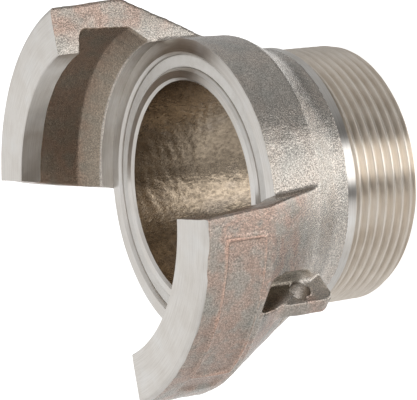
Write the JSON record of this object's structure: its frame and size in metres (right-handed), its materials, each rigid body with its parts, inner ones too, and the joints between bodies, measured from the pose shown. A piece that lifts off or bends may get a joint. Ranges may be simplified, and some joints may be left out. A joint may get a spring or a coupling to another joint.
{
  "type": "claw hose coupling half",
  "caption": "Symmetrical claw coupling half for hoses: two hook claws around a flat gasketed sealing face, a cast neck and a G 2 male thread at the back.",
  "frame": {"origin": "centre of the thread's end face, which the part stands on", "axes": "+Z along the coupling axis from the thread end towards the claws; +X through the middle of one claw, -X through the middle of the other"},
  "size_m": [0.092, 0.069, 0.0669],
  "materials": {
    "stainless_steel": "shot-blasted casting skin, with turned faces, thread and shoulder",
    "gasket_rubber": "smooth pale elastomer"
  },
  "bodies": {
    "body": {"coupling_body": "stainless_steel"},
    "gasket_ring": {"gasket": "gasket_rubber"}
  },
  "joints": [
    {"name": "gasket_pull", "type": "slide", "parent": "body", "child": "gasket_ring", "axis": [0, 0, 1], "range_m": [0, 0.035]}
  ]
}
